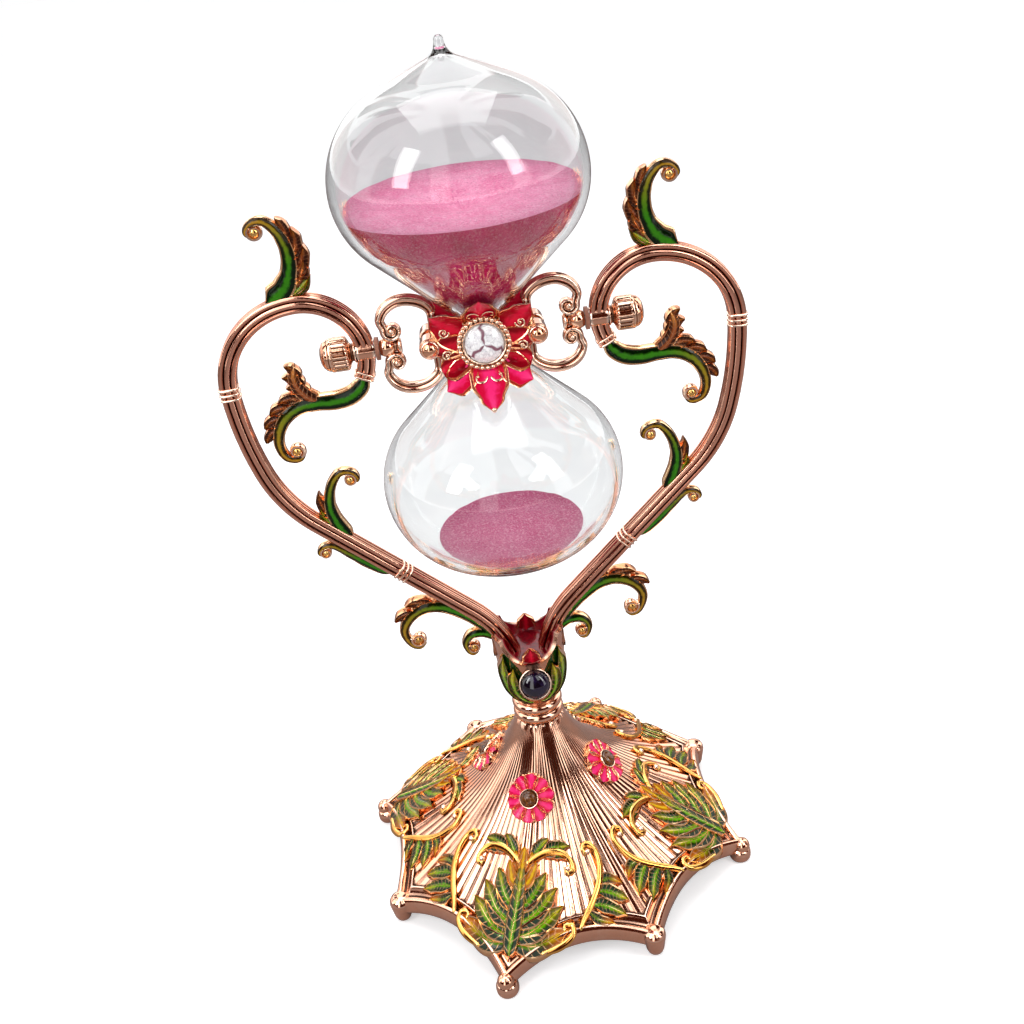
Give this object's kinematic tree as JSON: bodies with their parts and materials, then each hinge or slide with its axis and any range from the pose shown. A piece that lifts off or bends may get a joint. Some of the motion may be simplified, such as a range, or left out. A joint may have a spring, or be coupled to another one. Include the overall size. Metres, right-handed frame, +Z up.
{
  "type": "hourglass",
  "caption": "Ornamental hourglass with a blown glass that turns between the scroll arms of a heart on a fluted dome base with enamel flowers and leaves.",
  "frame": {"origin": "on the floor under the middle of the base", "axes": "+Z up, +X to the right along the turning axis of the glass, the front faces -Y"},
  "size_m": [0.134, 0.1164, 0.2446],
  "materials": {
    "rose_gold": "polished rose gold plating",
    "screw_metal": "plated screw metal",
    "blown_glass": "clear blown glass",
    "pink_sand": "fine sparkling sand",
    "cushion": "soft sleeve",
    "washer": "smooth nylon",
    "crystal": "clear cut crystal",
    "dark_stone": "polished dark cabochon",
    "amber_stone": "faceted amber stone",
    "pink_enamel": "hot pink enamel in metal edges",
    "red_enamel": "red and pink enamel in metal edges",
    "green_enamel": "green enamel in metal edges",
    "leaf_enamel": "green and copper enamel in metal edges"
  },
  "bodies": {
    "stand": {"base_flower_1": "pink_enamel", "base_flower_2": "pink_enamel", "base_flower_3": "pink_enamel", "base_flower_4": "pink_enamel", "base_leaf_1": "green_enamel", "base_leaf_2": "green_enamel", "base_leaf_3": "green_enamel", "base_leaf_4": "green_enamel", "base_screw": "screw_metal", "base_shell": "rose_gold", "base_spray_1": "green_enamel", "base_spray_2": "green_enamel", "base_spray_3": "green_enamel", "base_spray_4": "green_enamel", "base_washer": "screw_metal", "crest_leaf_left": "leaf_enamel", "crest_leaf_right": "leaf_enamel", "cup_gem_back": "dark_stone", "cup_gem_front": "dark_stone", "flower_stone_1": "amber_stone", "flower_stone_2": "amber_stone", "flower_stone_3": "amber_stone", "flower_stone_4": "amber_stone", "heart_arm_left": "rose_gold", "heart_arm_right": "rose_gold", "inner_leaf_left": "leaf_enamel", "inner_leaf_right": "leaf_enamel", "lower_scroll_left": "leaf_enamel", "lower_scroll_right": "leaf_enamel", "mid_scroll_left": "leaf_enamel", "mid_scroll_right": "leaf_enamel", "neck_collar": "rose_gold", "outer_scroll_left": "leaf_enamel", "outer_scroll_right": "leaf_enamel", "tulip_cup": "rose_gold"},
    "glass_carrier": {"glass": "blown_glass", "sand_upper": "pink_sand", "sand_lower": "pink_sand", "neck_cushion": "cushion", "flower_clamp_front": "red_enamel", "flower_clamp_back": "red_enamel", "bezel_front": "rose_gold", "bezel_back": "rose_gold", "crystal_front": "crystal", "crystal_back": "crystal", "clamp_screws": "screw_metal", "clamp_nuts": "screw_metal", "scroll_bracket_left": "rose_gold", "scroll_bracket_right": "rose_gold", "pivot_stud_left": "screw_metal", "pivot_stud_right": "screw_metal", "friction_washer_left": "washer", "friction_washer_right": "washer"},
    "thumb_nut_left": {"thumb_nut_left": "rose_gold"},
    "thumb_nut_right": {"thumb_nut_right": "rose_gold"}
  },
  "joints": [
    {"name": "glass_turn", "type": "hinge", "parent": "stand", "child": "glass_carrier", "pos_m": [0, 0, 0.17533], "axis": [1, 0, 0], "continuous": true},
    {"name": "nut_left_turn", "type": "hinge", "parent": "glass_carrier", "child": "thumb_nut_left", "pos_m": [0, 0, 0.17533], "axis": [1, 0, 0], "continuous": true},
    {"name": "nut_right_turn", "type": "hinge", "parent": "glass_carrier", "child": "thumb_nut_right", "pos_m": [0, 0, 0.17533], "axis": [1, 0, 0], "continuous": true}
  ]
}
